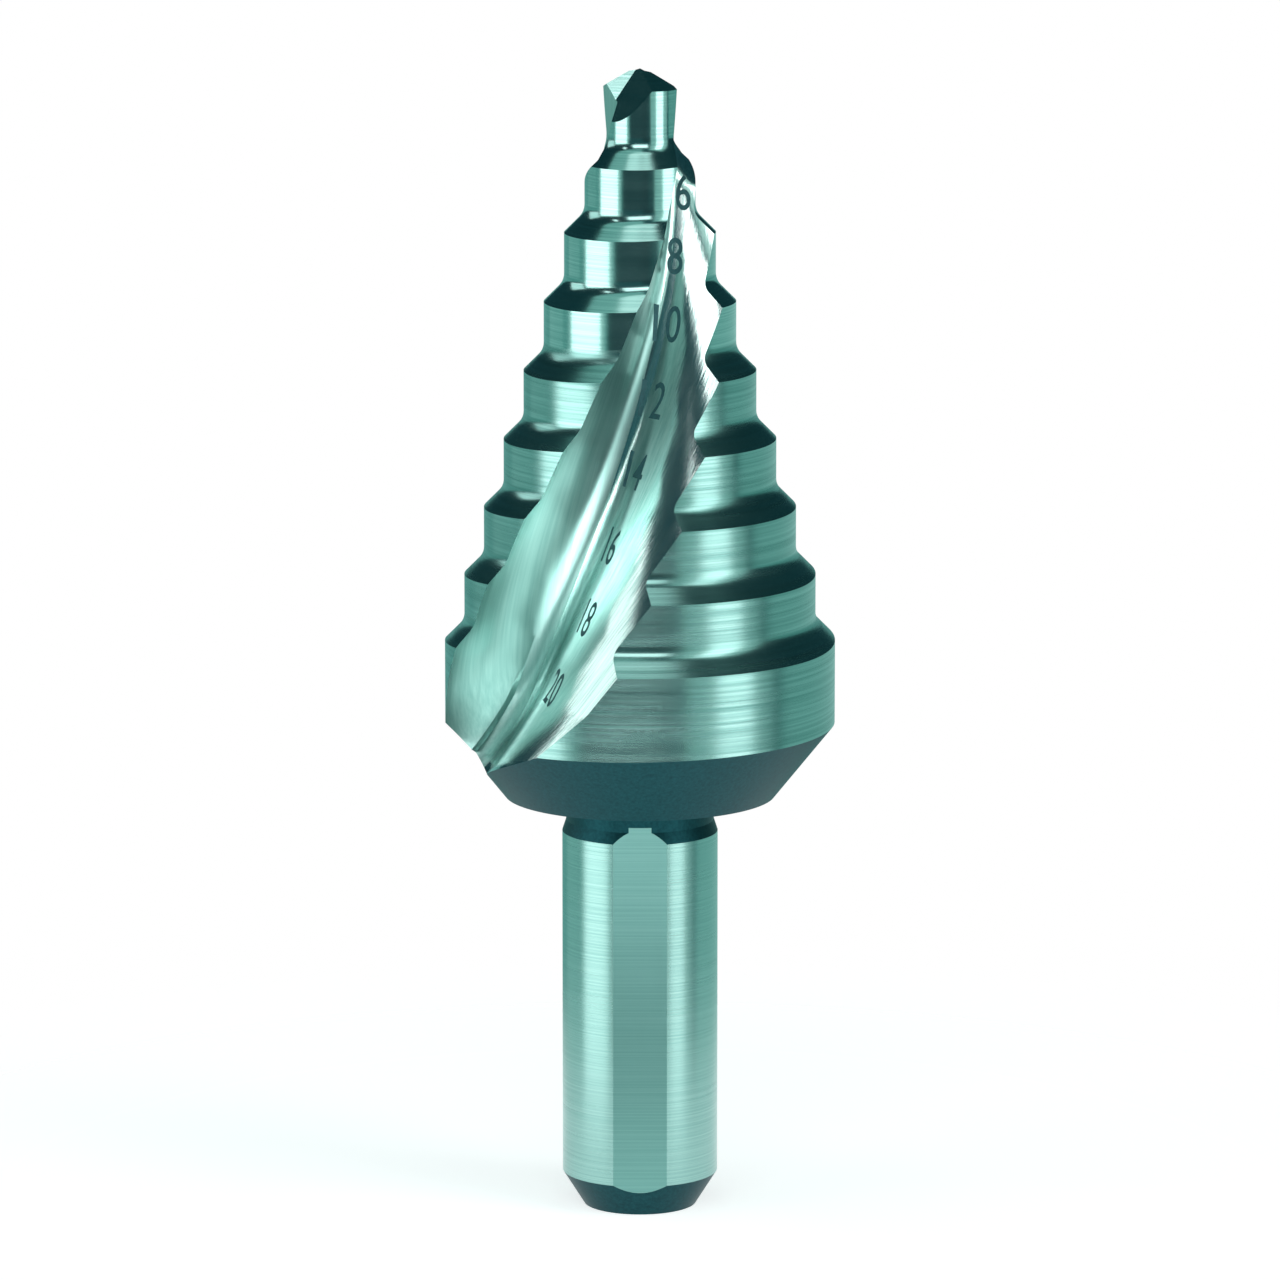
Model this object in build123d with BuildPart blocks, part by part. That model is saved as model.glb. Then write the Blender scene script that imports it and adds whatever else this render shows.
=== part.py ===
"""Spiral-fluted step drill standing on its shank end, point up."""
import os
from math import asin, atan2, cos, degrees, hypot, radians, sin, tan

from build123d import *

# All lengths are in millimetres and all angles in degrees.
# Angles round the drill start at the front (-Y) and grow towards +X.

# Shank: round bar with three flats for the chuck jaws.
shank_dia = 8.0
shank_end_z = 19.7
shank_end_face_dia = 5.8
shank_chamfer_len = 1.75
flat_count = 3
flat_from_axis = 3.755
flat_top_z = 20.57

# Neck between the shank and the head.
neck_dia = 7.6
neck_shoulder_len = 0.6

# Head: cone at the back, then the largest cylinder.
head_back_z = 21.6
head_back_dia = 13.9
largest_dia = 20.0
back_cone_top_z = 25.4

# Steps: each is one diameter step smaller than the one below it.
smallest_dia = 4.0
dia_step = 2.0
step_height = 3.5
pilot_extra_len = 0.2
largest_corner_z = 29.9
shoulder_angle = 45.0
step_fillet = 1.0
fillet_bands = 2
point_angle = 118.0

# Clearance ground behind each cutting edge.
axial_relief = 0.42
axial_relief_arc = 60.0
radial_relief = 0.12
relief_stations = 3
land_arc = 180.0

# Flutes: two right-hand helical grooves.
flute_count = 2
flute_lead = 80.5
flute_angle_at_corner = 266.1
flute_arc = 65.5
rake_ahead = 1.2
rake_flat_len = 4.9
rake_hook_radius = 4.45
rake_hook_arc = 72.0
rake_stations = 8
root_from_axis_at_tip = 0.1
root_taper = 0.105
root_radius_at_tip = 0.3
root_radius_growth = 0.055
root_bands = 3
wall_bend = 22.0
tip_opening = 28.0
tip_opening_start = 5.0
tip_opening_ramp = 1.5
flute_sections = 20

# The grinding wheel lifts out of the flute near the back cone.
runout_below_tip = 18.1
runout_wheel_radius = 60.0
runout_heel_lift = 1.3
runout_closing = 9.0
rake_runout_z = 28.8
rake_runout_radius = 7.2

# Point: ridge across the middle and the gash that splits each lip.
chisel_z = 59.08
chisel_normal = (0.0, -0.45, 0.89)
gash_floor_normal = (-0.64, -0.50, 0.58)
gash_wall_normal = (-0.37, -0.79, 0.48)
gash_web_half = 0.48

# Room left round the cutters so that they pass right through the metal.
spare = 0.4

# Passes of the two searches below, enough to settle to a hundredth of a micron.
edge_search_passes = 30
root_search_passes = 8

step_count = round((largest_dia - smallest_dia) / dia_step)
shoulder_height = dia_step / 2 / tan(radians(shoulder_angle))
smallest_corner_z = largest_corner_z + step_count * step_height + pilot_extra_len
point_height = smallest_dia / 2 / tan(radians(point_angle / 2))
tip_z = smallest_corner_z + point_height
stock_radius = largest_dia / 2 + spare
cutter_radius = largest_dia / 2 + 3 * spare


def direction(angle):
    """Level unit vector at an angle round the drill."""
    return (sin(radians(angle)), -cos(radians(angle)), 0)


def radial_plane(angle):
    """Upright plane through the axis, with x outwards and y up."""
    return Plane(
        origin=(0, 0, 0),
        x_dir=direction(angle),
        z_dir=direction(angle - 90),
    )


def corner_height(radius):
    """Height of the sharp corner on the step of the given radius."""
    steps_up = (largest_dia / 2 - radius) / (dia_step / 2)
    return largest_corner_z + steps_up * step_height


def flute_turn(z):
    """Angle of the flute's own frame at height z."""
    turn = 360 * (z - largest_corner_z) / flute_lead
    return flute_angle_at_corner + turn


def envelope_radius(z):
    """Radius of the plain cone through the step corners."""
    slope = (dia_step / 2) / step_height
    radius = smallest_dia / 2 + (smallest_corner_z - z) * slope
    return min(max(radius, smallest_dia / 2), largest_dia / 2)


def rake_point(along, lift=0):
    """Point on the rake face, measured along it from where the hook starts."""
    if along <= 0:
        return rake_flat_len + along, rake_ahead + lift
    turn = along / rake_hook_radius
    u = rake_flat_len + rake_hook_radius * sin(turn)
    return u, rake_ahead + lift + rake_hook_radius * (1 - cos(turn))


def rake_distance(u):
    """Distance along the rake face to the point at u in the flute's frame."""
    past = min(u - rake_flat_len, rake_hook_radius * sin(radians(rake_hook_arc)))
    if past <= 0:
        return past
    return rake_hook_radius * asin(past / rake_hook_radius)


def edge_angle(radius):
    """Angle of the cutting edge in the flute's frame at a radius."""
    low = -rake_flat_len
    high = rake_hook_radius * radians(rake_hook_arc)
    for halving in range(edge_search_passes):
        middle = (low + high) / 2
        u, v = rake_point(middle)
        if hypot(u, v) < radius:
            low = middle
        else:
            high = middle
    return degrees(atan2(v, u))


def turned_blank():
    """The bar as turned, before steps, flutes and flats are ground."""
    cone_slope = (largest_dia - head_back_dia) / 2 / (back_cone_top_z - head_back_z)
    stock_cone_z = back_cone_top_z + spare / cone_slope
    with BuildPart() as blank:
        with BuildSketch(Plane.XZ):
            with BuildLine():
                Polyline(
                    (0, 0),
                    (shank_end_face_dia / 2, 0),
                    (shank_dia / 2, shank_chamfer_len),
                    (shank_dia / 2, shank_end_z),
                    (neck_dia / 2, shank_end_z + neck_shoulder_len),
                    (neck_dia / 2, head_back_z),
                    (head_back_dia / 2, head_back_z),
                    (stock_radius, stock_cone_z),
                    (stock_radius, tip_z + spare),
                    (0, tip_z + spare),
                    close=True,
                )
            make_face()
        revolve(axis=Axis.Z)
    return blank.part


def land_relief(radius, behind_edge):
    """How far a land has dropped in and down behind its cutting edge."""
    behind = max(behind_edge, 0)
    drop_angle = min(behind, axial_relief_arc) * 90 / axial_relief_arc
    inwards = radial_relief * (1 - cos(radians(behind)))
    down = axial_relief * radius / (largest_dia / 2) * sin(radians(drop_angle))
    return inwards, down


def step_profile(plane, radius, behind_edge, has_step):
    """Cross-section of the metal ground away outside one land."""
    inwards, down = land_relief(radius, behind_edge)
    r = radius - inwards
    out = cutter_radius
    if has_step:
        top = corner_height(radius) + shoulder_height - down
        meet = top - step_height
        fillet_z = meet + step_fillet * tan(radians(shoulder_angle / 2))
        points = [(r, top)]
        for band in range(fillet_bands + 1):
            turn = radians(shoulder_angle * band / fillet_bands)
            away = step_fillet * (1 - cos(turn))
            points.append((r + away, fillet_z - step_fillet * sin(turn)))
        points.append((out, meet - (out - r) / tan(radians(shoulder_angle))))
    else:
        top = corner_height(radius) + shoulder_height
        bottom = back_cone_top_z - 2 * dia_step
        points = [(r, top), (r, bottom), (out, bottom)]
    with BuildSketch(plane) as profile:
        with BuildLine():
            Polyline(*points, (out, top), close=True)
        make_face()
    return profile.sketch


def land_cutter(radius, has_step=True):
    """Relieving cut for one land of one step, from flute to flute."""
    middle_z = corner_height(radius) - step_height / 2
    edge = flute_turn(middle_z) + edge_angle(radius)
    first = -flute_arc / 2
    last = land_arc + first
    fractions = [part / relief_stations for part in range(relief_stations + 1)]
    steep = [axial_relief_arc * fraction for fraction in fractions]
    shallow = [
        axial_relief_arc + (last - axial_relief_arc) * fraction
        for fraction in fractions[1:]
    ]
    profiles = [
        step_profile(radial_plane(edge - behind), radius, behind, has_step)
        for behind in [first] + steep + shallow
    ]
    with BuildPart() as cutter:
        loft(sections=profiles)
    return cutter.part


def root_lift(z):
    """How far the wheel has lifted out of the flute at height z."""
    late = max(smallest_corner_z - z - runout_below_tip, 0)
    return late ** 2 / (2 * runout_wheel_radius)


def flute_root(z):
    """Distance of the flute's root from the axis line at height z."""
    below_tip = smallest_corner_z - z
    return max(root_from_axis_at_tip + root_taper * below_tip, 0) + root_lift(z)


def heel_point(z):
    """Point in the flute's frame where its wall meets the heel of the land."""
    radius = envelope_radius(z)
    below_tip = smallest_corner_z - z
    ramp = (tip_opening_start - below_tip) / tip_opening_ramp
    opening = tip_opening * min(max(ramp, 0), 1)
    closing = runout_closing * max(root_lift(z) - runout_heel_lift, 0)
    angle = radians(edge_angle(radius) + flute_arc + opening - closing)
    return radius * cos(angle), radius * sin(angle)


def flute_section(z):
    """Cross-section of one flute at height z."""
    below_tip = max(smallest_corner_z - z, 0)
    root_radius = root_radius_at_tip + root_radius_growth * below_tip
    lift = max(rake_runout_z - z, 0) ** 2 / (2 * rake_runout_radius)
    root_along = rake_distance(flute_root(z))
    root_u, root_v = rake_point(root_along, lift)
    heel_u, heel_v = heel_point(z)
    rake_turn = degrees(max(root_along, 0) / rake_hook_radius)
    wall_turn = degrees(atan2(heel_v - root_v, heel_u - root_u)) - wall_bend
    for settling in range(root_search_passes):
        corner = wall_turn - rake_turn
        reach = root_radius / tan(radians(corner / 2))
        start_u = root_u + reach * cos(radians(wall_turn))
        start_v = root_v + reach * sin(radians(wall_turn))
        chord_turn = degrees(atan2(heel_v - start_v, heel_u - start_u))
        wall_turn = chord_turn - wall_bend
    chord = hypot(heel_v - start_v, heel_u - start_u)
    wall_radius = chord / (2 * sin(radians(wall_bend)))
    centre_u = start_u + wall_radius * cos(radians(wall_turn + 90))
    centre_v = start_v + wall_radius * sin(radians(wall_turn + 90))
    wall_points = [
        (
            centre_u + wall_radius * cos(radians(wall_turn - 90 + wall_bend * part)),
            centre_v + wall_radius * sin(radians(wall_turn - 90 + wall_bend * part)),
        )
        for part in (2, 1, 0)
    ]
    heel_turn = radians(wall_turn + 2 * wall_bend)
    wall_end = (heel_u + dia_step * cos(heel_turn), heel_v + dia_step * sin(heel_turn))
    bisector = radians(rake_turn + corner / 2)
    root_far = root_radius / sin(radians(corner / 2))
    root_centre_u = root_u + root_far * cos(bisector)
    root_centre_v = root_v + root_far * sin(bisector)
    root_points = []
    for band in range(1, root_bands):
        turn = radians(wall_turn + 90 + (180 - corner) * band / root_bands)
        across = root_radius * cos(turn)
        root_points.append((root_centre_u + across, root_centre_v + root_radius * sin(turn)))
    rake_start = root_along + reach
    rake_end = rake_hook_radius * radians(rake_hook_arc)
    rake_points = [
        rake_point(rake_start + (rake_end - rake_start) * part / rake_stations, lift)
        for part in range(rake_stations + 1)
    ]
    hook_end = rake_points[-1]
    out = (
        hook_end[0] + dia_step * cos(radians(rake_hook_arc)),
        hook_end[1] + dia_step * sin(radians(rake_hook_arc)),
    )
    far = (out[0], out[1] + largest_dia / 4)
    turn = flute_turn(z)
    plane = Plane(origin=(0, 0, z), x_dir=direction(turn), z_dir=(0, 0, 1))
    with BuildSketch(plane) as section:
        with BuildLine():
            Line(wall_end, wall_points[0])
            ThreePointArc(*wall_points)
            Polyline(wall_points[2], *root_points, rake_points[0])
            Spline(*rake_points)
            Line(hook_end, out)
            Line(out, far)
            Line(far, wall_end)
        make_face()
    return section.sketch


def flute_cutter():
    """One helical flute, from above the point to below the head."""
    low_z = head_back_z - spare
    high_z = tip_z + 2 * spare
    sections = []
    for index in range(flute_sections):
        even = index / (flute_sections - 1)
        crowded_at_ends = (1 - cos(radians(180 * even))) / 2
        fraction = (even + crowded_at_ends) / 2
        sections.append(flute_section(low_z + (high_z - low_z) * fraction))
    with BuildPart() as cutter:
        loft(sections=sections)
    return cutter.part


def point_cutter():
    """Everything outside the cone of the point."""
    half = radians(point_angle / 2)
    top = tip_z + 4 * spare
    with BuildPart() as cutter:
        with BuildSketch(Plane.XZ):
            with BuildLine():
                Polyline(
                    (0, tip_z),
                    (cutter_radius, tip_z - cutter_radius / tan(half)),
                    (cutter_radius, top),
                    (0, top),
                    close=True,
                )
            make_face()
        revolve(axis=Axis.Z)
    return cutter.part


def ahead_of(origin, normal):
    """Block filling the side of a plane that its normal points to."""
    block = largest_dia / 2
    with BuildPart() as side:
        with BuildSketch(Plane(origin=origin, z_dir=normal)):
            Rectangle(block, block)
        extrude(amount=block)
    return side.part


def chisel_cutter():
    """One slope of the ridge left across the middle of the point."""
    return ahead_of((0, 0, chisel_z), chisel_normal)


def gash_cutter():
    """Notch that thins the web in front of one lip."""
    wall_x, wall_y, wall_z = gash_wall_normal
    wall_origin = (wall_x * gash_web_half, wall_y * gash_web_half, smallest_corner_z)
    with BuildPart() as notch:
        add(ahead_of((0, 0, chisel_z), gash_floor_normal))
        add(ahead_of(wall_origin, gash_wall_normal), mode=Mode.INTERSECT)
    return notch.part


def rotated(shape, count):
    """Copies of a shape spread evenly round the drill."""
    return [shape.rotate(Axis.Z, 360 * index / count) for index in range(count)]


with BuildPart() as step_drill:
    add(turned_blank())
    add(point_cutter(), mode=Mode.SUBTRACT)
    for index in range(step_count + 1):
        radius = smallest_dia / 2 + index * dia_step / 2
        land = land_cutter(radius, has_step=index < step_count)
        for cut in rotated(land, flute_count):
            add(cut, mode=Mode.SUBTRACT)
    for cutter in (flute_cutter(), chisel_cutter(), gash_cutter()):
        for cut in rotated(cutter, flute_count):
            add(cut, mode=Mode.SUBTRACT)
    for index in range(flat_count):
        side = Plane(
            origin=(0, 0, flat_top_z),
            x_dir=direction(index * 360 / flat_count),
            z_dir=(0, 0, 1),
        )
        with BuildSketch(side):
            with Locations((flat_from_axis, 0)):
                Rectangle(shank_dia, shank_dia, align=(Align.MIN, Align.CENTER))
        extrude(amount=-flat_top_z - spare, mode=Mode.SUBTRACT)

step_drill.part.label = "step_drill"
os.makedirs("parts", exist_ok=True)
export_step(step_drill.part, "parts/step_drill.step")
print(step_drill.part.bounding_box())
print("volume", round(step_drill.part.volume), "mm3, solids", len(step_drill.part.solids()))
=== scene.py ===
import math
import bpy
from mathutils import Matrix, Vector
from mathutils.bvhtree import BVHTree


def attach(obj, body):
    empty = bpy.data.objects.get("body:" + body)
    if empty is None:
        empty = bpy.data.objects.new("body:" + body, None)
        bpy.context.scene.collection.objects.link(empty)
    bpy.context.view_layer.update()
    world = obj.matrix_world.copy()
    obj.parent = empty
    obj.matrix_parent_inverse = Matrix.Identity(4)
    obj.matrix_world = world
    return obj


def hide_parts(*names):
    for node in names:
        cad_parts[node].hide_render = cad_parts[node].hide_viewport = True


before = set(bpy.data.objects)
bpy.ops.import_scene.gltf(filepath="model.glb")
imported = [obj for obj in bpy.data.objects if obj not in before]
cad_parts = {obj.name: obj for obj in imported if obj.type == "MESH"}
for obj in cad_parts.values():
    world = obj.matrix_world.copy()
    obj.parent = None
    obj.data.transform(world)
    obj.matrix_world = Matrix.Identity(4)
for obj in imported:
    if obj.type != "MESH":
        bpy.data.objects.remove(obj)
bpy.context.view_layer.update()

mm = 0.001
bpy.ops.object.select_all(action="DESELECT")  # the frame's nodes arrive selected
print("frame loaded:", sorted(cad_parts))


def onlyActive(obj):
    bpy.ops.object.select_all(action="DESELECT")
    obj.select_set(True)
    bpy.context.view_layer.objects.active = obj


def direction(angle, rise=0.0):
    # angle runs round the drill from the front towards the right, rise is above the level
    a, e = math.radians(angle), math.radians(rise)
    return Vector((math.sin(a) * math.cos(e), -math.cos(a) * math.cos(e), math.sin(e)))


# The camera stands where the photo's perspective puts it.
camera = {
    "target": (0.0, 0.0, 29.62),  # mm, shown on the photo's middle row
    "elevation": 10.78,  # degrees above the level
    "distance": 439.0,  # mm
    "lens": 240.83, "sensorWidth": 36,  # mm
    "clip": (0.01, 10),  # m
    "imageSize": 1280,  # pixels
}


def makeCamera():
    data = bpy.data.cameras.new("camera")
    data.lens, data.sensor_width = camera["lens"], camera["sensorWidth"]
    data.clip_start, data.clip_end = camera["clip"]
    obj = bpy.data.objects.new("camera", data)
    bpy.context.scene.collection.objects.link(obj)
    outwards = direction(0, camera["elevation"])
    obj.location = (Vector(camera["target"]) + outwards * camera["distance"]) * mm
    obj.rotation_euler = (math.radians(90 - camera["elevation"]), 0, 0)
    bpy.context.scene.camera = obj
    return obj


cameraObj = makeCamera()
bpy.context.scene.view_settings.view_transform = "Standard"
print("camera ready")


def toLinear(hexColour):
    parts = [int(hexColour[i:i + 2], 16) / 255 for i in (1, 3, 5)]
    linear = [c / 12.92 if c <= 0.04045 else ((c + 0.055) / 1.055) ** 2.4 for c in parts]
    return (*linear, 1.0)


def addNode(tree, kind, inputs={}, links={}, **settings):
    node = tree.nodes.new(kind)
    for name, value in settings.items():
        setattr(node, name, value)
    for name, value in inputs.items():
        node.inputs[name].default_value = value
    for name, source in links.items():
        tree.links.new(source, node.inputs[name])
    return node


def emptyMaterial(name):
    material = bpy.data.materials.new(name)
    material.use_nodes = True
    material.node_tree.nodes.clear()
    return material, material.node_tree


# a Mix node for colours takes them in sockets 6 and 7, and gives the result in 2
mixFirst, mixSecond, mixResult = 6, 7, 2

# High speed steel. Its ground faces are bright, with fine lines the way the wheel ran.
# Real lines are too fine to show, so they are drawn several times as coarse.
# The photo is toned, so the steel leans to blue green as it does there.
steel = {
    "land": ("#A8CEC8", "#86B5AF"),  # the small steps
    "satin": ("#97C0BA", "#6F9F99"),  # the large steps, darker than the small ones: painted shade that dims their highlights
    "shank": ("#9FC7C1", "#87B4AE"),
    "flats": ("#89BDB6", "#75ABA4"),  # darker than the shank round them: painted shade
    "flute": ("#E4F1EE", "#B6D6D1"),  # the wall, the palest of all: a painted highlight, so its reflections come out white
    "face": ("#9CC0BA", "#88B0AA"),  # the cutting face, darker than the lands: painted shade
    "grindDepth": 0.02,  # mm
    "roundLines": 45,  # per metre, a line is about 22 mm long
    "roundPatches": (160, 160, 1400),  # about 6 mm round by 0.7 mm high
    "fluteLines": 160,  # about 6 mm long
    "flutePatches": (1100, 1100, 160),  # about 0.9 mm wide by 6 mm long
}
blackened = {
    "colours": ("#0B2F36", "#20595F"),
    "grain": 5500.0,  # per metre, a grain is about 0.2 mm, coarser than the real one
    "grainDepth": 0.01,  # mm
}


def grindLines(tree, vector, scale, detail=3.0):
    # one stretched noise, its three scales are per metre
    mapped = addNode(tree, "ShaderNodeMapping", {"Scale": scale}, {"Vector": vector})
    return addNode(
        tree, "ShaderNodeTexNoise",
        {"Scale": 1.0, "Detail": detail, "Roughness": 0.6},
        {"Vector": mapped.outputs["Vector"]},
    )


def finishSteel(tree, lines, patches, tones, roughness, bump):
    # the lines set tone and relief, lines and patches together the roughness
    tone = addNode(
        tree, "ShaderNodeMapRange", {"From Min": 0.3, "From Max": 0.7},
        {"Value": lines.outputs["Fac"]},
    )
    bright, dim = steel[tones]
    colour = addNode(
        tree, "ShaderNodeMix", {mixFirst: toLinear(bright), mixSecond: toLinear(dim)},
        {0: tone.outputs["Result"]}, data_type="RGBA",
    )
    both = addNode(
        tree, "ShaderNodeMath", {}, {0: lines.outputs["Fac"], 1: patches.outputs["Fac"]},
        operation="MULTIPLY",
    )
    rough = addNode(
        tree, "ShaderNodeMapRange",
        {"From Min": 0.12, "From Max": 0.42, "To Min": roughness[0], "To Max": roughness[1]},
        {"Value": both.outputs["Value"]},
    )
    relief = addNode(
        tree, "ShaderNodeBump", {"Strength": bump, "Distance": steel["grindDepth"] * mm},
        {"Height": lines.outputs["Fac"]},
    )
    shader = addNode(
        tree, "ShaderNodeBsdfPrincipled", {"Metallic": 1.0},
        {
            "Base Color": colour.outputs[mixResult],
            "Roughness": rough.outputs["Result"],
            "Normal": relief.outputs["Normal"],
        },
    )
    addNode(tree, "ShaderNodeOutputMaterial", {}, {"Surface": shader.outputs["BSDF"]})


def groundRound(name, tones, lineSpacing, roughness, bump):
    # cylindrical grinding: lines run round the drill, one above the other
    material, tree = emptyMaterial(name)
    place = addNode(tree, "ShaderNodeTexCoord").outputs["Object"]
    along, across = steel["roundLines"], 1 / (lineSpacing * mm)
    lines = grindLines(tree, place, (along, along, across))
    patches = grindLines(tree, place, steel["roundPatches"], 2.0)
    finishSteel(tree, lines, patches, tones, roughness, bump)
    return material


def groundFlute(name, tones, lineSpacing, roughness, bump):
    # form grinding: lines run along the flute, so the pattern is wound back by its lead first
    material, tree = emptyMaterial(name)
    place = addNode(tree, "ShaderNodeTexCoord").outputs["Object"]
    height = addNode(tree, "ShaderNodeSeparateXYZ", {}, {"Vector": place}).outputs["Z"]
    turn = addNode(
        tree, "ShaderNodeMath", {1: -2 * math.pi / (flute["lead"] * mm)}, {0: height},
        operation="MULTIPLY",
    )
    unwound = addNode(
        tree, "ShaderNodeVectorRotate", {}, {"Vector": place, "Angle": turn.outputs["Value"]},
        rotation_type="Z_AXIS",
    ).outputs["Vector"]
    along, across = steel["fluteLines"], 1 / (lineSpacing * mm)
    lines = grindLines(tree, unwound, (across, across, along))
    patches = grindLines(tree, unwound, steel["flutePatches"], 2.0)
    finishSteel(tree, lines, patches, tones, roughness, bump)
    return material


def unground(name):
    # left black from hardening, a matt skin with a fine grain
    material, tree = emptyMaterial(name)
    place = addNode(tree, "ShaderNodeTexCoord").outputs["Object"]
    grain = addNode(
        tree, "ShaderNodeTexNoise",
        {"Scale": blackened["grain"], "Detail": 3.0, "Roughness": 0.7}, {"Vector": place},
    )
    dark, light = blackened["colours"]
    colour = addNode(
        tree, "ShaderNodeMix", {mixFirst: toLinear(dark), mixSecond: toLinear(light)},
        {0: grain.outputs["Fac"]}, data_type="RGBA",
    )
    relief = addNode(
        tree, "ShaderNodeBump", {"Strength": 0.3, "Distance": blackened["grainDepth"] * mm},
        {"Height": grain.outputs["Fac"]},
    )
    shader = addNode(
        tree, "ShaderNodeBsdfPrincipled", {"Metallic": 0.92, "Roughness": 0.45},
        {"Base Color": colour.outputs[mixResult], "Normal": relief.outputs["Normal"]},
    )
    addNode(tree, "ShaderNodeOutputMaterial", {}, {"Surface": shader.outputs["BSDF"]})
    return material


# The drill as it is ground from the bar, in mm and degrees, to the solid's own sizes.
drill = {
    "shankEndFace": 5.8, "shankChamfer": 1.75, "shankDiameter": 8.0, "shankTop": 19.7,
    "flatFromAxis": 3.755, "flatTop": 20.57, "flatCount": 3,
    "flatBlock": 4, "flatSpare": 1,  # the cutting block's half width, and its reach below
    "neckDiameter": 7.6, "neckFrom": 20.3,
    "headBack": 21.6, "headBackDiameter": 13.9, "coneTop": 25.4,
    "radii": [10, 9, 8, 7, 6, 5, 4, 3, 2], "stepDepth": 1,
    "largestCorner": 29.9, "stepHeight": 3.5, "pilotCorner": 58.1,
    "shoulderAngle": 45,  # so a shoulder is as high as it is deep
    "fillet": 1.0, "filletBands": 6, "heldEdge": 0.1,
    "pointAngle": 118.0,
    "axialRelief": 0.42, "axialReliefArc": 60.0, "radialRelief": 0.12,
    "finelyGroundUpTo": 6,  # lands of a smaller radius are glossier
    "stations": 240,
    "mergeWithin": 0.0005, "sharpFrom": 18,
}
flute = {
    "count": 2, "lead": 80.5, "angleAtCorner": 266.1, "arc": 65.5,
    "rakeAhead": 1.2, "rakeFlat": 4.9, "hookRadius": 4.45, "hookArc": 72.0,
    "rootAway": 0.1, "rootTaper": 0.105, "rootRadius": 0.3, "rootGrowth": 0.055,
    "wallBend": 22.0,
    "opening": 28.0, "openingStart": 5.0, "openingRamp": 1.5,
    "runoutBelow": 18.1, "wheelRadius": 60.0, "heelLift": 1.3, "closing": 9.0,
    "rakeRunout": 28.8, "rakeRunoutRadius": 7.2,
    "wallBands": 16, "rootBands": 10, "rakeBands": 20, "levels": 170,
    "overshoot": 2, "outerEdge": 5,  # how far the cutter reaches out of the drill
    "spareBelow": 0.4, "spareAbove": 1.0,
    "halvings": 30, "settlings": 8,  # passes of the two searches below
}
point = {
    "chiselHeight": 59.08,
    "chiselNormal": (0, -0.45, 0.89),
    "gashFloorNormal": (-0.64, -0.50, 0.58),
    "gashWallNormal": (-0.37, -0.79, 0.48),
    "webHalf": 0.48,
    "blockHalf": (5, 5, 5),
}

# the places of the drill's finishes in the list steelFinishes
fineGround, satinGround, fluteWall, blackSkin, shankRound, shankFlat, fluteFace = range(7)


def cornerHeight(radius):
    steps = (drill["radii"][0] - radius) / drill["stepDepth"]
    return drill["largestCorner"] + steps * drill["stepHeight"]


def fluteTurn(z):
    return flute["angleAtCorner"] + 360 * (z - drill["largestCorner"]) / flute["lead"]


def rakePoint(along, lift=0.0):
    # the cutting face is straight up to the rake's flat end, and hooked past it
    if along <= 0:
        return flute["rakeFlat"] + along, flute["rakeAhead"] + lift
    turn, r = along / flute["hookRadius"], flute["hookRadius"]
    u = flute["rakeFlat"] + r * math.sin(turn)
    v = flute["rakeAhead"] + lift + r * (1 - math.cos(turn))
    return u, v


def rakeAlong(u):
    r = flute["hookRadius"]
    past = min(u - flute["rakeFlat"], r * math.sin(math.radians(flute["hookArc"])))
    return past if past <= 0 else r * math.asin(past / r)


def edgeAngle(radius):
    # where the cutting edge of this radius stands in the flute's own frame
    low, high = -flute["rakeFlat"], flute["hookRadius"] * math.radians(flute["hookArc"])
    for halving in range(flute["halvings"]):
        u, v = rakePoint((low + high) / 2)
        if math.hypot(u, v) < radius:
            low = (low + high) / 2
        else:
            high = (low + high) / 2
    return math.degrees(math.atan2(v, u))


def landRelief(radius, angle):
    # how far this land has dropped inwards and down behind its cutting edge
    edge = fluteTurn(cornerHeight(radius) - drill["stepHeight"] / 2) + edgeAngle(radius)
    first = -flute["arc"] / 2
    behind = max((edge - angle - first) % (360 / flute["count"]) + first, 0)
    drop = min(behind, drill["axialReliefArc"]) * 90 / drill["axialReliefArc"]
    inwards = drill["radialRelief"] * (1 - math.cos(math.radians(behind)))
    down = drill["axialRelief"] * radius / drill["radii"][0] * math.sin(math.radians(drop))
    return inwards, down


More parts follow.
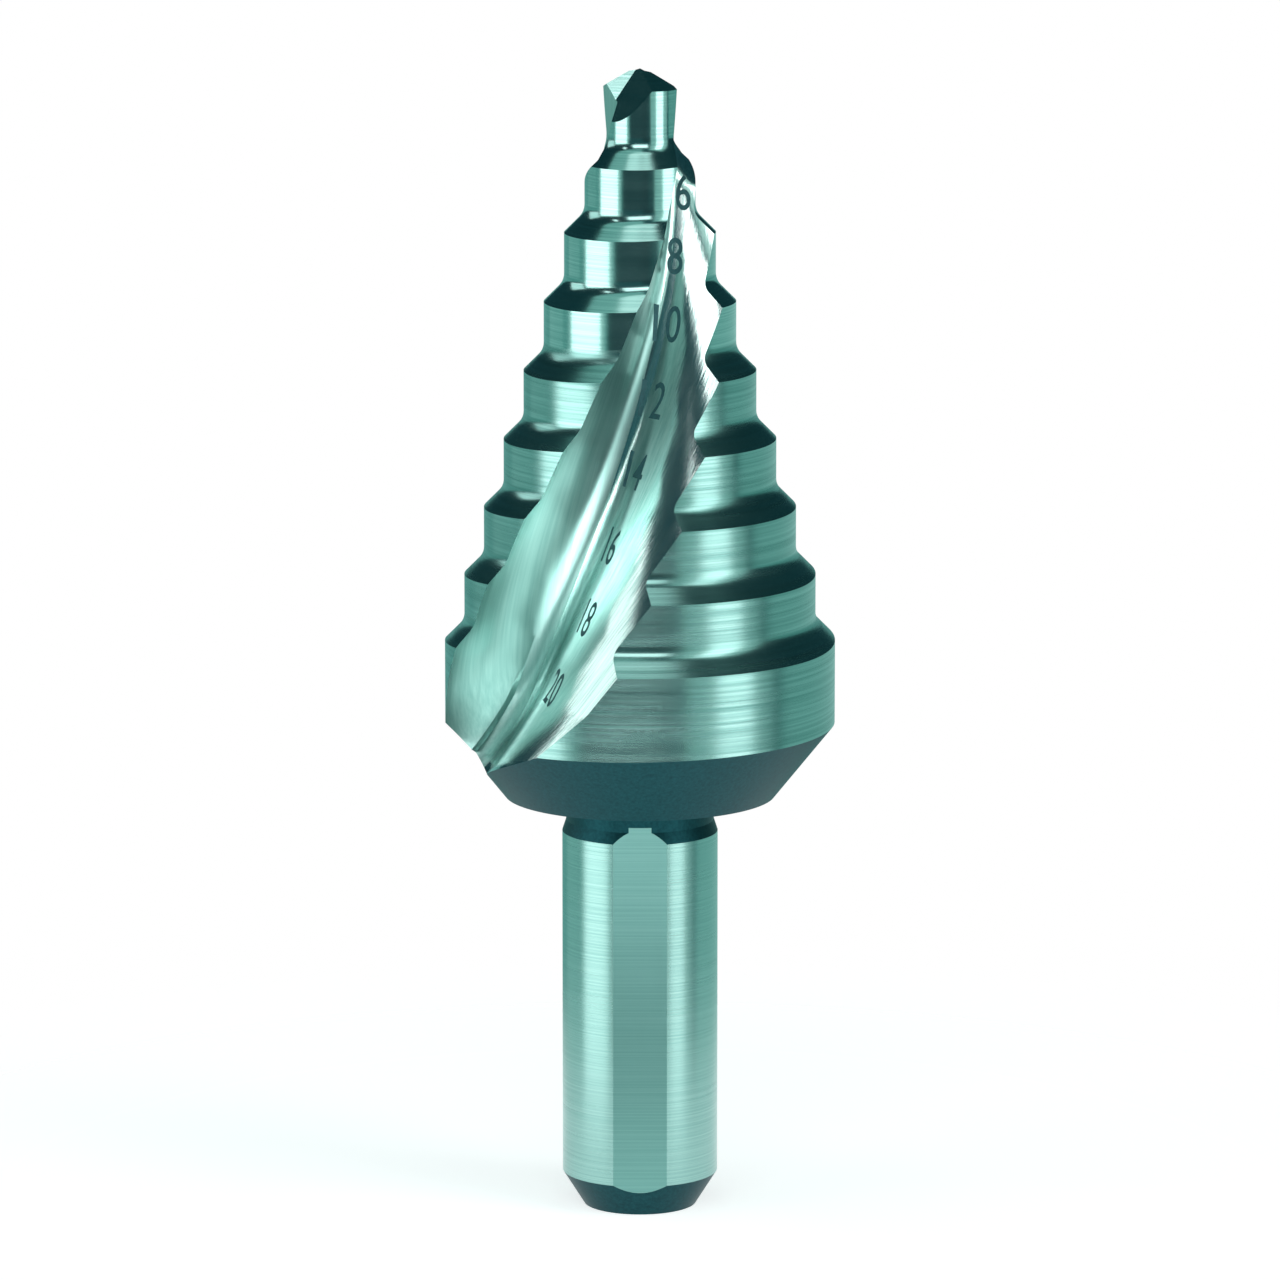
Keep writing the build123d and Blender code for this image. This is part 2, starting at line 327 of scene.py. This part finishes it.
def turnedProfile(angle):
    # from the middle of the shank's end up to the point, with each band's finish
    half, backRadius = drill["shankDiameter"] / 2, drill["headBackDiameter"] / 2
    backSlope = (drill["coneTop"] - drill["headBack"]) / (drill["radii"][0] - backRadius)
    shoulder = drill["shoulderAngle"]
    points = [
        (0, 0), (drill["shankEndFace"] / 2, 0), (half, drill["shankChamfer"]),
        (half, drill["shankTop"]), (drill["neckDiameter"] / 2, drill["neckFrom"]),
        (drill["neckDiameter"] / 2, drill["headBack"]), (backRadius, drill["headBack"]),
    ]
    bands = [blackSkin, blackSkin, shankRound, blackSkin, blackSkin, blackSkin, blackSkin]
    r = drill["radii"][0] - landRelief(drill["radii"][0], angle)[0]
    points.append((r, drill["headBack"] + (r - backRadius) * backSlope))
    for radius in drill["radii"][1:]:
        below = radius + drill["stepDepth"]
        finish = fineGround if below < drill["finelyGroundUpTo"] else satinGround
        inwards, down = landRelief(radius, angle)
        inner = radius - inwards
        meet = cornerHeight(radius) + drill["stepDepth"] - drill["stepHeight"] - down
        points.append((r, meet - (r - inner)))
        bands.append(finish)
        filletZ = meet + drill["fillet"] * math.tan(math.radians(shoulder / 2))
        filletBands = drill["filletBands"]
        turns = [shoulder * (1 - band / filletBands) for band in range(filletBands + 1)]
        arc = [
            (
                inner + drill["fillet"] * (1 - math.cos(math.radians(turn))),
                filletZ - drill["fillet"] * math.sin(math.radians(turn)),
            )
            for turn in turns
        ]
        held = drill["heldEdge"] * math.cos(math.radians(shoulder))
        arc = [(arc[0][0] + held, arc[0][1] - held)] + arc + [(inner, filletZ + drill["heldEdge"])]
        points += arc
        bands += [finish] * len(arc)
        r = inner
    slope = math.tan(math.radians(drill["pointAngle"] / 2))
    top = drill["pilotCorner"] + drill["radii"][-1] / slope
    points += [(r, top - r / slope), (0, top)]
    bands += [fineGround, fineGround]
    return points, bands


def meshObject(name, vertices, faces, finish):
    mesh = bpy.data.meshes.new(name)
    mesh.from_pydata([(x * mm, y * mm, z * mm) for x, y, z in vertices], [], faces)
    obj = bpy.data.objects.new(name, mesh)
    bpy.context.scene.collection.objects.link(obj)
    for material in steelFinishes:
        mesh.materials.append(material)
    for face in mesh.polygons:
        face.material_index = finish[face.index]
    return obj


def turnedBody():
    count = drill["stations"]
    vertices, faces, finish = [], [], []
    for station in range(count):
        angle = 360 * station / count
        points, bands = turnedProfile(angle)
        if station == 0:
            rows = len(points) - 2
            vertices = [(0, 0, points[0][1]), (0, 0, points[-1][1])]
        out = direction(angle)
        vertices += [(out.x * r, out.y * r, z) for r, z in points[1:-1]]
    for station in range(count):
        this, following = 2 + station * rows, 2 + (station + 1) % count * rows
        faces.append((0, following, this))
        finish.append(bands[0])
        for row in range(rows - 1):
            faces.append((this + row, following + row, following + row + 1, this + row + 1))
            finish.append(bands[row + 1])
        faces.append((this + rows - 1, following + rows - 1, 1))
        finish.append(bands[-1])
    return meshObject("stepDrill", vertices, faces, finish)


def fluteOutline(z):
    # the flute's section at this height: heel, hollow wall, root, cutting face, way back
    f = flute
    below = drill["pilotCorner"] - z
    rootRadius = f["rootRadius"] + f["rootGrowth"] * max(below, 0)
    rootLift = max(below - f["runoutBelow"], 0) ** 2 / (2 * f["wheelRadius"])
    rakeLift = max(f["rakeRunout"] - z, 0) ** 2 / (2 * f["rakeRunoutRadius"])
    along = rakeAlong(max(f["rootAway"] + f["rootTaper"] * below, 0) + rootLift)
    rootU, rootV = rakePoint(along, rakeLift)
    largest, smallest = drill["radii"][0], drill["radii"][-1]
    grown = smallest + below / drill["stepHeight"] * drill["stepDepth"]
    radius = min(max(grown, smallest), largest)
    opening = f["opening"] * min(max((f["openingStart"] - below) / f["openingRamp"], 0), 1)
    closing = f["closing"] * max(rootLift - f["heelLift"], 0)
    heel = math.radians(edgeAngle(radius) + f["arc"] + opening - closing)
    heelU, heelV = radius * math.cos(heel), radius * math.sin(heel)
    rakeTurn = math.degrees(max(along, 0) / f["hookRadius"])
    bend = f["wallBend"]
    wallTurn = math.degrees(math.atan2(heelV - rootV, heelU - rootU)) - bend
    for settling in range(f["settlings"]):
        corner = wallTurn - rakeTurn
        reach = rootRadius / math.tan(math.radians(corner / 2))
        startU = rootU + reach * math.cos(math.radians(wallTurn))
        startV = rootV + reach * math.sin(math.radians(wallTurn))
        wallTurn = math.degrees(math.atan2(heelV - startV, heelU - startU)) - bend
    wallRadius = math.hypot(heelV - startV, heelU - startU) / (2 * math.sin(math.radians(bend)))
    heelTurn = math.radians(wallTurn + 2 * bend)
    past = f["overshoot"]
    loop = [(heelU + past * math.cos(heelTurn), heelV + past * math.sin(heelTurn))]
    centreU = startU + wallRadius * math.cos(math.radians(wallTurn + 90))
    centreV = startV + wallRadius * math.sin(math.radians(wallTurn + 90))
    for band in range(f["wallBands"] + 1):
        turn = math.radians(wallTurn - 90 + 2 * bend * (1 - band / f["wallBands"]))
        loop.append((centreU + wallRadius * math.cos(turn), centreV + wallRadius * math.sin(turn)))
    bisector = math.radians(rakeTurn + corner / 2)
    rootFar = rootRadius / math.sin(math.radians(corner / 2))
    centreU, centreV = rootU + rootFar * math.cos(bisector), rootV + rootFar * math.sin(bisector)
    for band in range(1, f["rootBands"]):
        turn = math.radians(wallTurn + 90 + (180 - corner) * band / f["rootBands"])
        loop.append((centreU + rootRadius * math.cos(turn), centreV + rootRadius * math.sin(turn)))
    hookTurn = math.radians(f["hookArc"])
    start, end = along + reach, f["hookRadius"] * hookTurn
    for band in range(f["rakeBands"] + 1):
        loop.append(rakePoint(start + (end - start) * band / f["rakeBands"], rakeLift))
    u, v = loop[-1]
    loop.append((u + past * math.cos(hookTurn), v + past * math.sin(hookTurn)))
    loop.append((loop[-1][0], loop[-1][1] + f["outerEdge"]))
    uAxis, vAxis = direction(fluteTurn(z)), direction(fluteTurn(z) + 90)
    return [tuple(uAxis * u + vAxis * v + Vector((0, 0, z))) for u, v in loop]


def fluteCutter():
    low = drill["headBack"] - flute["spareBelow"]
    high = point["chiselHeight"] + flute["spareAbove"]
    levels = flute["levels"]
    vertices, faces = [], []
    for level in range(levels + 1):
        vertices += fluteOutline(low + (high - low) * level / levels)
    size = len(vertices) // (levels + 1)
    for level in range(levels):
        for corner in range(size):
            following = (corner + 1) % size
            a, b = level * size + corner, level * size + following
            faces.append((a, b, b + size, a + size))
    faces.append(tuple(reversed(range(size))))
    faces.append(tuple(range(levels * size, (levels + 1) * size)))
    wallEnd = flute["wallBands"] + flute["rootBands"] // 2 + 1
    finish = [fluteWall if index % size < wallEnd else fluteFace for index in range(len(faces))]
    return meshObject("fluteCutter", vertices, faces, finish)


def blockCutter(name, centre, half, finish, facing):
    # a block whose lower face lies on the given place and looks against the facing
    bpy.ops.mesh.primitive_cube_add(size=2)
    block = bpy.context.object
    block.name = name
    turn = Vector(facing).to_track_quat("Z", "Y").to_matrix().to_4x4()
    block.data.transform(Matrix.Diagonal((half[0] * mm, half[1] * mm, half[2] * mm, 1)))
    block.data.transform(Matrix.Translation((0, 0, half[2] * mm)))
    block.data.transform(turn)
    block.data.transform(Matrix.Translation(Vector(centre) * mm))
    for material in steelFinishes:
        block.data.materials.append(material)
    for face in block.data.polygons:
        face.material_index = finish
    return block


def outwardFaces(obj):
    onlyActive(obj)
    bpy.ops.object.mode_set(mode="EDIT")
    bpy.ops.mesh.select_all(action="SELECT")
    bpy.ops.mesh.normals_make_consistent(inside=False)
    bpy.ops.object.mode_set(mode="OBJECT")


def cutWith(target, cutter, operation="DIFFERENCE", turns=(0,)):
    for turn in turns:
        copy = cutter.copy()
        copy.data = cutter.data.copy()
        bpy.context.scene.collection.objects.link(copy)
        copy.data.transform(Matrix.Rotation(math.radians(turn), 4, "Z"))
        outwardFaces(copy)
        onlyActive(target)
        cut = target.modifiers.new("cut", "BOOLEAN")
        cut.operation, cut.object, cut.solver = operation, copy, "EXACT"
        cut.material_mode = "INDEX"
        bpy.ops.object.modifier_apply(modifier=cut.name)
        bpy.data.objects.remove(copy)
    bpy.data.objects.remove(cutter)


def makeDrill():
    body = turnedBody()
    outwardFaces(body)
    pair = [360 * n / flute["count"] for n in range(flute["count"])]
    cutWith(body, fluteCutter(), turns=pair)
    print("flutes cut:", len(body.data.polygons), "faces")
    tip, half = (0, 0, point["chiselHeight"]), point["blockHalf"]
    chisel = blockCutter("chisel", tip, half, fineGround, point["chiselNormal"])
    cutWith(body, chisel, turns=pair)
    gash = blockCutter("gash", tip, half, fineGround, point["gashFloorNormal"])
    wallPlace = (
        point["gashWallNormal"][0] * point["webHalf"],
        point["gashWallNormal"][1] * point["webHalf"],
        drill["pilotCorner"],
    )
    wall = blockCutter("gashWall", wallPlace, half, fineGround, point["gashWallNormal"])
    cutWith(gash, wall, "INTERSECT")
    cutWith(body, gash, turns=pair)
    flatHalf = (drill["flatTop"] + drill["flatSpare"]) / 2
    flat = blockCutter(
        "flat", (drill["flatFromAxis"], 0, flatHalf - drill["flatSpare"]),
        (drill["flatBlock"], flatHalf, drill["flatBlock"]), shankFlat, (1, 0, 0),
    )
    sides = [360 * n / drill["flatCount"] - 90 for n in range(drill["flatCount"])]
    cutWith(body, flat, turns=sides)
    onlyActive(body)
    bpy.ops.object.mode_set(mode="EDIT")
    bpy.ops.mesh.select_all(action="SELECT")
    bpy.ops.mesh.remove_doubles(threshold=drill["mergeWithin"] * mm)
    bpy.ops.object.mode_set(mode="OBJECT")
    bpy.ops.object.shade_smooth_by_angle(angle=math.radians(drill["sharpFrom"]))
    evened = body.modifiers.new("evened", "WEIGHTED_NORMAL")
    evened.keep_sharp = True
    bpy.ops.object.modifier_apply(modifier=evened.name)
    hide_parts("step_drill")
    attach(body, "root")
    return body


# in the order of the finish names above; line spacing in mm, roughness from and to, bump
steelFinishes = [
    groundRound("groundSteelFine", "land", 0.10, (0.14, 0.20), 0.08),  # clear reflections
    groundRound("groundSteelSatin", "satin", 0.16, (0.21, 0.30), 0.16),  # soft, drawn up and down
    groundFlute("groundFluteWall", "flute", 0.13, (0.12, 0.20), 0.28),  # bright from low roughness and the painted highlight in its pale tones, streaked
    unground("ungroundSteel"),  # dark and matt beside the ground faces
    groundRound("groundShank", "shank", 0.08, (0.25, 0.28), 0.015),  # even, softly bright
    groundRound("groundFlats", "flats", 0.08, (0.40, 0.44), 0.015),  # plain, hardly mirrors
    groundFlute("groundFluteFace", "face", 0.20, (0.30, 0.36), 0.05),  # soft, nearly even
]
drillObj = makeDrill()
print("drill ready:", len(drillObj.data.polygons), "faces")


# Step sizes marked by laser on the wall of the front flute, dark and thin. Each stands
# where the photo shows its middle, in pixels, and leans along the flute. 14, 16 and 18
# stand a little further right, where less of them falls into the bend at the root.
marks = {
    "6": (683, 192), "8": (675, 256), "10": (668, 324), "12": (654, 400),
    "14": (636, 471), "16": (611, 546), "18": (587, 618), "20": (554, 688),
}
marking = {
    "height": 1.9, "lift": 0.006,  # mm, the size of a number and how proud it stands
    "narrower": 0.66, "lean": 0.15,  # parts of the letters' width and of the flute's slope
    "droppedFrom": 1.0,  # mm above the wall
    "halfDepth": 0.01, "bolder": 0.004,  # of the text before it is laid on the wall
    "mergeWithin": 0.00001, "cuts": 2, "curveSteps": 4,
    "colours": ("#14363B", "#2A5E62"),
    "grain": 9000.0,  # per metre, a grain is about 0.1 mm, near a laser spot's size
}


def throughPixel(x, y):
    half = cameraObj.data.sensor_width / 2 / cameraObj.data.lens
    size = camera["imageSize"]
    inView = Vector(((x / size - 0.5) * 2 * half, (0.5 - y / size) * 2 * half, -1))
    return (cameraObj.matrix_world.to_3x3() @ inView).normalized()


def makeMark(text, pixel, surface, material):
    spot, normal = surface.ray_cast(cameraObj.location, throughPixel(*pixel))[:2]
    bpy.ops.object.text_add(location=(0, 0, 0))
    mark = bpy.context.object
    mark.data.body = text
    mark.data.align_x, mark.data.align_y = "CENTER", "CENTER"
    mark.data.offset = marking["bolder"]
    mark.data.resolution_u = marking["curveSteps"]
    mark.data.extrude = marking["halfDepth"]
    onlyActive(mark)
    bpy.ops.object.convert(target="MESH")
    bpy.ops.object.mode_set(mode="EDIT")
    bpy.ops.mesh.select_all(action="SELECT")
    bpy.ops.mesh.remove_doubles(threshold=marking["mergeWithin"])
    bpy.ops.mesh.subdivide(number_cuts=marking["cuts"])
    bpy.ops.mesh.quads_convert_to_tris()
    bpy.ops.mesh.normals_make_consistent(inside=False)
    bpy.ops.object.mode_set(mode="OBJECT")
    flat = [v.co.copy() for v in mark.data.vertices]
    low, high = min(v.y for v in flat), max(v.y for v in flat)
    left, right = min(v.x for v in flat), max(v.x for v in flat)
    scale = marking["height"] * mm / (high - low)
    turned = marking["lean"] * 2 * math.pi / (flute["lead"] * mm)
    up = Vector((-turned * spot.y, turned * spot.x, 1)).normalized()
    up = (up - normal * up.dot(normal)).normalized()
    across = up.cross(normal)
    for vertex, place in zip(mark.data.vertices, flat):
        x = (place.x - (left + right) / 2) * scale * marking["narrower"]
        y = (place.y - (low + high) / 2) * scale
        above = spot + across * x + up * y + normal * (marking["droppedFrom"] * mm)
        hit = surface.ray_cast(above, -normal)
        vertex.co = hit[0] + hit[1] * marking["lift"] * mm * place.z / marking["halfDepth"]
    mark.name = "mark" + text
    mark.data.materials.clear()
    mark.data.materials.append(material)
    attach(mark, "root")


def laserMark(name):
    # steel darkened by a laser: a thin matt oxide, even in tone
    material, tree = emptyMaterial(name)
    place = addNode(tree, "ShaderNodeTexCoord").outputs["Object"]
    grain = addNode(
        tree, "ShaderNodeTexNoise", {"Scale": marking["grain"], "Detail": 2.0},
        {"Vector": place},
    )
    dark, light = marking["colours"]
    colour = addNode(
        tree, "ShaderNodeMix", {mixFirst: toLinear(dark), mixSecond: toLinear(light)},
        {0: grain.outputs["Fac"]}, data_type="RGBA",
    )
    shader = addNode(
        tree, "ShaderNodeBsdfPrincipled", {"Metallic": 0.3, "Roughness": 0.6},
        {"Base Color": colour.outputs[mixResult]},
    )
    addNode(tree, "ShaderNodeOutputMaterial", {}, {"Surface": shader.outputs["BSDF"]})
    return material


bpy.context.view_layer.update()
drillSurface = BVHTree.FromObject(drillObj, bpy.context.evaluated_depsgraph_get())
markMaterial = laserMark("laserMarkedSteel")
for text, pixel in marks.items():
    makeMark(text, pixel, drillSurface, markMaterial)
print("marks ready:", len(marks))


# A round tent of cards stands round the drill, dark where nothing is named. Each panel is
# a card's name and its degrees: round from, round to, lowest, highest. Later ones cover
# earlier ones.
studio = {
    "tentRadius": 0.8, "tentHeight": 0.03,  # m, the height is that of its middle
    "tentSegments": 120, "tentRings": 60,
    "floorRadius": 0.07,  # m
    "floorSides": 96, "floorFade": (0.25, 0.85),  # parts of its radius
    "floorColour": "#E9EDEC", "floorGlow": 0.68,
    "white": "#FFFFFF", "roomLight": 0.6,
    "cards": {  # colour and strength
        "deep": ("#1A3E44", 1.0), "dark": ("#2A5A5F", 1.0), "middle": ("#74B0AA", 1.0),
        "pale": ("#A2D0CA", 1.0), "half": ("#B5DCD6", 1.0), "soft": ("#E6F3F1", 1.6),
        "light": ("#FFFFFF", 2.6), "table": ("#FFFFFF", 6.4),
    },
    "panels": [
        ("middle", -180, 180, -90, 3), ("pale", -180, 180, -90, -42),
        ("dark", -39, 33, -33, 90), ("dark", 15, 90, -33, 3),
        ("pale", -138, -105, -18, -6), ("pale", 93, 180, -18, -6),
        ("pale", -120, 0, 54, 72), ("deep", 3, 33, -6, 12),
        ("table", -36, 12, -42, -21), ("table", 12, 48, -42, -24),
        ("deep", -39, 15, -15, -3),
        ("half", -93, -42, -18, 24), ("light", -90, -48, -15, 21),
        ("half", 27, 84, -15, 60), ("light", 45, 69, -15, 54),
        ("soft", -126, -96, 6, 27), ("light", -30, 18, 27, 45),
        ("light", -66, -57, 40, 47), ("soft", -100, 60, 72, 84),
    ],
}


def glowing(name, hexColour, strength, sampled):
    material, tree = emptyMaterial(name)
    glow = addNode(
        tree, "ShaderNodeEmission", {"Color": toLinear(hexColour), "Strength": strength},
    )
    addNode(tree, "ShaderNodeOutputMaterial", {}, {"Surface": glow.outputs["Emission"]})
    if not sampled:
        material.cycles.emission_sampling = "NONE"
    return material


def makeTent():
    bpy.ops.mesh.primitive_uv_sphere_add(
        segments=studio["tentSegments"], ring_count=studio["tentRings"],
        radius=studio["tentRadius"], location=(0, 0, studio["tentHeight"]),
    )
    tent = bpy.context.object
    tent.name = "studioTent"
    names = list(studio["cards"])
    for name in names:
        colour, strength = studio["cards"][name]
        card = glowing("card" + name.capitalize(), colour, strength, sampled=strength > 1)
        tent.data.materials.append(card)
    for face in tent.data.polygons:
        x, y, z = face.center.normalized()
        angle, rise = math.degrees(math.atan2(x, -y)), math.degrees(math.asin(z))
        for card, start, end, low, high in studio["panels"]:
            if start < angle < end and low < rise < high:
                face.material_index = names.index(card)
    tent.visible_camera = False


def seenRay(tree):
    # rays by which the background is seen: straight, in metal or through glass
    path = addNode(tree, "ShaderNodeLightPath").outputs
    either = addNode(
        tree, "ShaderNodeMath", {}, {0: path["Is Camera Ray"], 1: path["Is Glossy Ray"]},
        operation="MAXIMUM",
    )
    seen = addNode(
        tree, "ShaderNodeMath", {}, {0: either.outputs["Value"], 1: path["Is Transmission Ray"]},
        operation="MAXIMUM",
    )
    return seen.outputs["Value"]


def makeFloor():
    # matt and pale, it glows a little where it is seen and fades out towards its rim
    bpy.ops.mesh.primitive_circle_add(
        vertices=studio["floorSides"], radius=studio["floorRadius"], fill_type="NGON",
        location=(0, 0, 0),
    )
    floor = bpy.context.object
    floor.name = "paleFloor"
    material, tree = emptyMaterial("paleFloor")
    place = addNode(tree, "ShaderNodeTexCoord").outputs["Object"]
    away = addNode(tree, "ShaderNodeVectorMath", {}, {0: place}, operation="LENGTH")
    fadeStart, fadeEnd = (studio["floorRadius"] * part for part in studio["floorFade"])
    fade = addNode(
        tree, "ShaderNodeMapRange", {"From Min": fadeStart, "From Max": fadeEnd},
        {"Value": away.outputs["Value"]}, interpolation_type="SMOOTHSTEP",
    )
    glow = addNode(
        tree, "ShaderNodeMath", {1: studio["floorGlow"]}, {0: seenRay(tree)},
        operation="MULTIPLY",
    )
    pale = addNode(
        tree, "ShaderNodeBsdfPrincipled",
        {
            "Base Color": toLinear(studio["floorColour"]), "Roughness": 0.9,
            "Emission Color": toLinear(studio["white"]),
        },
        {"Emission Strength": glow.outputs["Value"]},
    )
    clear = addNode(tree, "ShaderNodeBsdfTransparent")
    both = addNode(
        tree, "ShaderNodeMixShader", {},
        {"Fac": fade.outputs["Result"], 1: pale.outputs["BSDF"], 2: clear.outputs["BSDF"]},
    )
    addNode(tree, "ShaderNodeOutputMaterial", {}, {"Surface": both.outputs["Shader"]})
    floor.data.materials.append(material)


def makeWorld():
    # white where it is seen, dimmer as a light
    world = bpy.data.worlds.new("paleRoom")
    world.use_nodes = True
    tree = world.node_tree
    tree.nodes.clear()
    level = addNode(
        tree, "ShaderNodeMapRange", {"To Min": studio["roomLight"], "To Max": 1.0},
        {"Value": seenRay(tree)},
    )
    back = addNode(
        tree, "ShaderNodeBackground", {"Color": toLinear(studio["white"])},
        {"Strength": level.outputs["Result"]},
    )
    addNode(tree, "ShaderNodeOutputWorld", {}, {"Surface": back.outputs["Background"]})
    bpy.context.scene.world = world


makeTent()
makeFloor()
makeWorld()
print("studio ready")
